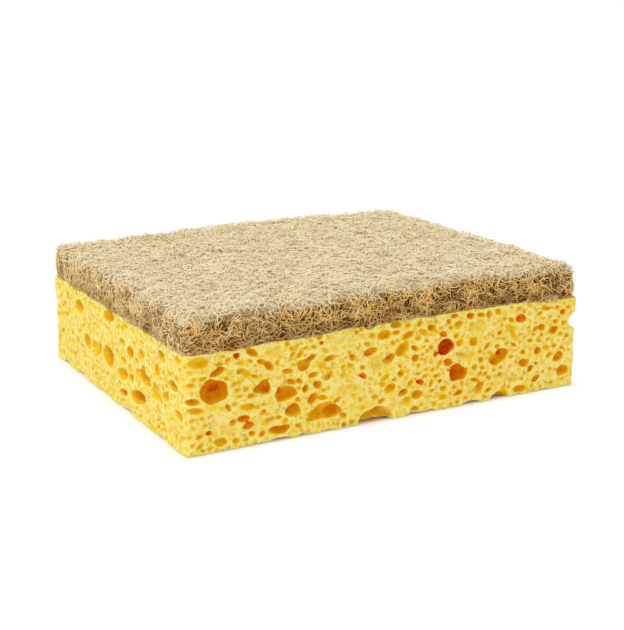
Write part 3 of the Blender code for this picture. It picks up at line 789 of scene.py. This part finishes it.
class Tree:
    """A material's node tree, with short ways to add and join its nodes."""

    def __init__(self, name):
        self.material = bpy.data.materials.new(name)
        self.material.use_nodes = True
        self.nodes = self.material.node_tree.nodes
        self.links = self.material.node_tree.links
        self.surface = self.nodes["Principled BSDF"]

    def feed(self, value, socket):
        """Join an output to a socket, or set the socket to a plain value."""
        if isinstance(value, bpy.types.NodeSocket):
            self.links.new(value, socket)
        else:
            socket.default_value = value

    def attribute(self, name):
        """Return one of the mesh's own numbers."""
        node = self.nodes.new("ShaderNodeAttribute")
        node.attribute_name = name
        return node.outputs["Fac"]

    def math(self, operation, *values):
        """Return a sum, product or other plain result."""
        node = self.nodes.new("ShaderNodeMath")
        node.operation = operation
        for value, socket in zip(values, node.inputs):
            self.feed(value, socket)
        return node.outputs["Value"]

    def vector(self, operation, first, second):
        """Return a sum or difference of two places, or a place times a number."""
        node = self.nodes.new("ShaderNodeVectorMath")
        node.operation = operation
        self.feed(first, node.inputs[0])
        self.feed(second, node.inputs["Scale" if operation == "SCALE" else 1])
        return node.outputs["Vector"]

    def span(self, value, low, high, to_low=0.0, to_high=1.0):
        """Return a value carried smoothly from one span to another and held inside it."""
        node = self.nodes.new("ShaderNodeMapRange")
        node.interpolation_type = "SMOOTHSTEP"
        self.feed(value, node.inputs["Value"])
        node.inputs["From Min"].default_value = low
        node.inputs["From Max"].default_value = high
        node.inputs["To Min"].default_value = to_low
        node.inputs["To Max"].default_value = to_high
        return node.outputs["Result"]

    def ramp(self, value, stops):
        """Return the colour at a value between 0 and 1."""
        node = self.nodes.new("ShaderNodeValToRGB")
        elements = node.color_ramp.elements
        while len(elements) < len(stops):
            elements.new(0.5)
        for element, (place, colour) in zip(elements, stops):
            element.position = place
            element.color = (*colour, 1)
        self.feed(value, node.inputs["Fac"])
        return node.outputs["Color"]

    def mix(self, share, first, second):
        """Return a mix of two colours."""
        node = self.nodes.new("ShaderNodeMix")
        node.data_type = "RGBA"
        self.feed(share, node.inputs["Factor"])
        sockets = [put for put in node.inputs if put.type == "RGBA"]
        for value, socket in zip((first, second), sockets):
            self.feed((*value, 1) if isinstance(value, tuple) else value, socket)
        return [put for put in node.outputs if put.type == "RGBA"][0]

    def places(self):
        """Return places on the object in millimetres."""
        node = self.nodes.new("ShaderNodeTexCoord")
        return self.vector("SCALE", node.outputs["Object"], 1000)

    def noise(self, places, scale, detail=2.0, rough=0.5):
        """Return soft random values round a half."""
        node = self.nodes.new("ShaderNodeTexNoise")
        self.feed(places, node.inputs["Vector"])
        node.inputs["Scale"].default_value = scale
        node.inputs["Detail"].default_value = detail
        node.inputs["Roughness"].default_value = rough
        return node

    def cells(self, places, scale):
        """Return a Voronoi texture over these places."""
        node = self.nodes.new("ShaderNodeTexVoronoi")
        self.feed(places, node.inputs["Vector"])
        node.inputs["Scale"].default_value = scale
        return node

    def shifted(self, places, scale, strength):
        """Return places pushed about by noise."""
        noise = self.noise(places, scale, 1.0)
        push = self.vector("SUBTRACT", noise.outputs["Color"], (0.5, 0.5, 0.5))
        return self.vector("ADD", places, self.vector("SCALE", push, strength))

    def bump(self, height, distance, strength=1.0):
        """Let a height in units of this distance bend the surface's normal."""
        node = self.nodes.new("ShaderNodeBump")
        node.inputs["Distance"].default_value = distance
        node.inputs["Strength"].default_value = strength
        self.feed(height, node.inputs["Height"])
        self.feed(node.outputs["Normal"], self.surface.inputs["Normal"])

    def coat(self, values):
        """Set what the surface is like, each by an output or a plain value."""
        for name, value in values.items():
            self.feed(value, self.surface.inputs[name])


def foam_material():
    """Return pale yellow faces over amber, orange and red pores, with pits too fine to carve.

    The colours of the pores and pits are painted shade that deepens into them; paler strands and rims
    are painted highlights.
    """
    tree = Tree("cellulose_foam")
    places = tree.places()
    depth = tree.attribute("depth")
    tightness = tree.attribute("tightness")
    pocket = tree.attribute("pocket")
    on_face = tree.span(depth, 0.10, 0.30, 1.0, 0.0)

    bent = tree.shifted(places, 0.9, 0.9)
    pits = tree.cells(bent, 0.70)
    luck = tree.nodes.new("ShaderNodeSeparateColor")
    tree.links.new(pits.outputs["Color"], luck.inputs["Color"])
    reach = tree.span(luck.outputs["Red"], 0.2, 1.0, 0.05, 0.36)
    hole = tree.math("SUBTRACT", reach, pits.outputs["Distance"])
    hole = tree.math("MULTIPLY", tree.span(hole, 0.0, 0.12), on_face)
    # A web of strands, raised by the bump and painted paler as a painted highlight on its ridges
    web = tree.cells(tree.shifted(places, 0.5, 1.6), 0.52)
    web.feature = "DISTANCE_TO_EDGE"
    strand = tree.span(web.outputs["Distance"], 0.0, 0.26, 1.0, 0.0)

    grain = tree.noise(places, 1.3, 3.0, 0.55).outputs["Fac"]
    blotch = tree.noise(places, 0.16, 2.0).outputs["Fac"]
    face = tree.mix(tree.span(grain, 0.3, 0.7), (0.85, 0.575, 0.030), (0.91, 0.705, 0.11))
    face = tree.mix(tree.math("MULTIPLY", strand, 0.75), face, (0.975, 0.84, 0.35))
    face = tree.mix(tree.span(blotch, 0.35, 0.7, 0.0, 0.25), face, (0.94, 0.68, 0.11))
    # Painted shade in the pits too fine to carve: amber to orange, as in the carved pores
    pit_shade_colour = tree.mix(luck.outputs["Green"], (0.90, 0.58, 0.03), (0.84, 0.34, 0.004))
    face = tree.mix(tree.math("MULTIPLY", hole, 0.85), face, pit_shade_colour)

    # Painted shade in the pores: amber deepening to red the deeper a point lies and the closer the
    # foam shuts round it
    painted_pocket_shade = tree.span(pocket, 0.62, 0.95, 0.0, 0.55)
    inside = tree.math("ADD", tree.math("MULTIPLY", depth, 0.10), painted_pocket_shade)
    # How much painted shade each pore gets: redder where listed, paler below zero
    blush = tree.attribute("blush")
    inside = tree.math("ADD", inside, tree.math("MULTIPLY", blush, 0.75))
    pore_shade_colour = tree.ramp(inside, [
        (0.0, (0.86, 0.545, 0.010)),
        (0.12, (0.84, 0.43, 0.002)),
        (0.35, (0.86, 0.32, 0.001)),
        (0.60, (0.87, 0.20, 0.001)),
        (0.95, (0.72, 0.045, 0.001)),
    ])
    pore_shade_colour = tree.mix(tree.span(grain, 0.35, 0.65, 0.0, 0.25), pore_shade_colour, (0.94, 0.62, 0.03))
    # The painted shade of the pores takes over from the face colour as the depth grows
    open_share = tree.span(depth, 0.06, 0.42)
    pale_share = tree.span(blush, -1.0, 0.0, 0.40, 1.0)
    colour = tree.mix(tree.math("MULTIPLY", open_share, pale_share), face, pore_shade_colour)
    # Painted highlight: pale colour on thin rims and edges where the foam is least tight, none just
    # under the pad
    painted_rim_highlight = tree.span(tightness, 0.30, 0.48, 0.75, 0.0)
    colour = tree.mix(painted_rim_highlight, colour, (0.98, 0.84, 0.30))
    tree.coat({
        "Base Color": colour,
        "Roughness": 0.62,
        "Specular IOR Level": 0.03,
        "Subsurface Weight": 0.6,
        "Subsurface Radius": (0.9, 0.55, 0.12),
        "Subsurface Scale": 0.0025,
    })

    height = tree.math("MULTIPLY", hole, -0.35)
    height = tree.math("ADD", height, tree.math("MULTIPLY", strand, 0.16))
    height = tree.math("ADD", height, tree.math("MULTIPLY", grain, 0.16))
    tree.bump(height, 0.001, 0.9)
    return tree.material


# Colours of the pad's zones, painted palest on top and browner on the long sides as light and
# shade fall there: near the skin, deep between the fibres as painted shade, and of the palest fibres
FIBRE_COLOURS = {
    "top": ((0.915, 0.785, 0.535), (0.66, 0.49, 0.215), (0.97, 0.87, 0.66)),
    "short side": ((0.94, 0.70, 0.33), (0.47, 0.27, 0.075), (0.98, 0.83, 0.49)),
    "long side": ((0.98, 0.62, 0.19), (0.30, 0.10, 0.003), (0.99, 0.78, 0.38)),
}
# The core's colours in the same zones, darkest on the long sides, as painted shade between the fibres
CORE_COLOURS = {
    "top": ((0.84, 0.70, 0.43), (0.63, 0.46, 0.20), (0.92, 0.80, 0.56)),
    "short side": ((0.56, 0.34, 0.11), (0.34, 0.16, 0.03), (0.80, 0.55, 0.23)),
    "long side": ((0.24, 0.08, 0.005), (0.11, 0.028, 0.001), (0.52, 0.25, 0.04)),
}


def fibre_material(name, colours, matted):
    """Return straw colours, palest on top, as painted light and shade.

    Painted shade darkens them with depth and towards the bond.
    """
    tree = Tree(name)
    places = tree.places()
    # Painted shade: fibres and core darker the deeper they lie under the skin
    painted_shade = tree.span(tree.attribute("depth"), -0.3, 1.1)
    # Painted shade: darker towards the bond, a little paler higher up
    low = tree.span(tree.attribute("height"), 0.8, 7.0, 0.34, -0.12)
    blotch = tree.span(tree.noise(places, 0.28, 3.0).outputs["Fac"], 0.35, 0.65, -0.12, 0.40)
    painted_shade = tree.math("ADD", tree.math("ADD", painted_shade, low), blotch)
    pale = tree.span(tree.attribute("tone"), 0.3, 1.0, 0.0, 0.5)
    if matted:
        web = tree.cells(tree.shifted(places, 1.1, 1.2), 1.15)
        web.feature = "DISTANCE_TO_EDGE"
        thread = tree.span(web.outputs["Distance"], 0.02, 0.13, 1.0, 0.0)
        pale = tree.math("MULTIPLY", thread, 0.6)
        tree.bump(thread, 0.0004)
    zones = {}
    for zone, (near, deep, palest) in colours.items():
        zones[zone] = tree.mix(pale, tree.mix(painted_shade, near, deep), palest)
    # Painted light and shade by facing: the top palest, the long sides browner, the short ones
    # between
    lengthwise = tree.span(tree.attribute("long_side"), 0.25, 0.75)
    side = tree.mix(lengthwise, zones["short side"], zones["long side"])
    colour = tree.mix(tree.span(tree.attribute("upward"), -0.1, 0.9), side, zones["top"])
    tree.coat({"Base Color": colour, "Roughness": 0.6, "Specular IOR Level": 0.0})
    return tree.material


def build_stage():
    """Lay a floor that looks pure white, but for the soft shadow close to the sponge.

    Under the block's edges it has painted warm shade, and round them a painted warm glow.
    """
    tree = Tree("white_floor")
    glow = tree.nodes.new("ShaderNodeEmission")
    glow.inputs["Strength"].default_value = 1.08
    path = tree.nodes.new("ShaderNodeLightPath")
    apart = tree.nodes.new("ShaderNodeSeparateXYZ")
    tree.feed(tree.places(), apart.inputs["Vector"])
    over_x = tree.math("SUBTRACT", tree.math("ABSOLUTE", apart.outputs["X"]), 1000 * HALF_LENGTH)
    over_y = tree.math("SUBTRACT", tree.math("ABSOLUTE", apart.outputs["Y"]), 1000 * HALF_WIDTH)
    outside = tree.math("MAXIMUM", over_x, over_y)
    # Painted shade: the floor under the block's edges is coloured warm brown
    painted_floor_shade = tree.mix(tree.span(outside, -2.4, -0.6), (0.72, 0.38, 0.18), (0.9, 0.9, 0.9))
    tree.coat({"Base Color": painted_floor_shade, "Roughness": 0.9})
    away = tree.span(outside, -3.0, 2.0, 0.05, 0.86)
    # Painted warm glow, as of light thrown back by the sponge, on the floor round it
    painted_warm_glow = tree.mix(tree.span(outside, -1.0, PAINTED_GLOW_REACH), (1.0, 0.91, 0.74), (1.0, 1.0, 1.0))
    tree.feed(painted_warm_glow, glow.inputs["Color"])
    mix = tree.nodes.new("ShaderNodeMixShader")
    tree.feed(tree.math("MULTIPLY", path.outputs["Is Camera Ray"], away), mix.inputs["Fac"])
    tree.feed(tree.surface.outputs["BSDF"], mix.inputs[1])
    tree.feed(glow.outputs["Emission"], mix.inputs[2])
    tree.feed(mix.outputs["Shader"], tree.nodes["Material Output"].inputs["Surface"])
    corners = HALF_FLOOR * np.array([(-1, -1, 0), (1, -1, 0), (1, 1, 0), (-1, 1, 0)])
    floor = mesh_object("floor", corners, np.array([[0, 1, 2, 3]]))
    floor.data.materials.append(tree.material)
    floor.location.z = -FLOOR_DROP


def add_area(name, place, size, power):
    """Hang a round, slightly warm lamp that shines on the sponge."""
    lamp = bpy.data.lights.new(name, "AREA")
    lamp.shape = "DISK"
    lamp.size = size
    lamp.energy = power
    lamp.color = LAMP_COLOUR
    thing = bpy.data.objects.new(name, lamp)
    thing.location = place
    away = Vector(place) - Vector(LAMP_TARGET)
    thing.rotation_euler = away.to_track_quat("Z", "Y").to_euler()
    bpy.context.scene.collection.objects.link(thing)


def build_light():
    """Light the sponge by two lamps and a white room, which the camera sees as pure white."""
    world = bpy.data.worlds.new("white_room")
    bpy.context.scene.world = world
    world.use_nodes = True
    nodes = world.node_tree.nodes
    links = world.node_tree.links
    room = nodes["Background"]
    seen = nodes.new("ShaderNodeBackground")
    for node, strength in ((room, 0.76), (seen, 1.05)):
        node.inputs["Color"].default_value = (1, 1, 1, 1)
        node.inputs["Strength"].default_value = strength
    path = nodes.new("ShaderNodeLightPath")
    mix = nodes.new("ShaderNodeMixShader")
    links.new(path.outputs["Is Camera Ray"], mix.inputs["Fac"])
    links.new(room.outputs["Background"], mix.inputs[1])
    links.new(seen.outputs["Background"], mix.inputs[2])
    links.new(mix.outputs["Shader"], nodes["World Output"].inputs["Surface"])
    add_area("key", (-0.50, -0.15, 0.85), 0.45, 3.7)
    add_area("fill", (-0.20, -0.85, 0.30), 0.50, 0.5)


def build_camera():
    """Put the camera where the photograph was taken from."""
    data = bpy.data.cameras.new("camera")
    data.lens = CAMERA_LENS_MM
    data.sensor_width = CAMERA_SENSOR_MM
    data.clip_start = 0.01
    camera = bpy.data.objects.new("camera", data)
    level = math.cos(CAMERA_ELEVATION)
    away = Vector((
        math.sin(CAMERA_AZIMUTH) * level,
        -math.cos(CAMERA_AZIMUTH) * level,
        math.sin(CAMERA_ELEVATION),
    ))
    camera.location = CAMERA_TARGET + CAMERA_DISTANCE * away
    camera.rotation_euler = away.to_track_quat("Z", "Y").to_euler()
    bpy.context.scene.collection.objects.link(camera)
    bpy.context.scene.camera = camera


sponge, crown = build_foam()
foam_look = foam_material()
for piece in sponge:
    piece.data.materials.append(foam_look)
    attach(piece, "root")
    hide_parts("sponge_block")

voxels, even, field = pad_field()
slopes = np.gradient(field, voxels.pitch)
core = build_core(crown, voxels, even, field, slopes)
core.data.materials.append(fibre_material("fibre_core", CORE_COLOURS, True))
pieces = build_fibres(crown, voxels, even, field, slopes)
tan = fibre_material("plant_fibre", FIBRE_COLOURS, False)
for piece in pieces:
    piece.data.materials.append(tan)
for piece in [core, *pieces]:
    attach(piece, "root")
    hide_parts("scouring_pad")

build_stage()
build_light()
build_camera()
bpy.context.scene.view_settings.view_transform = "Standard"
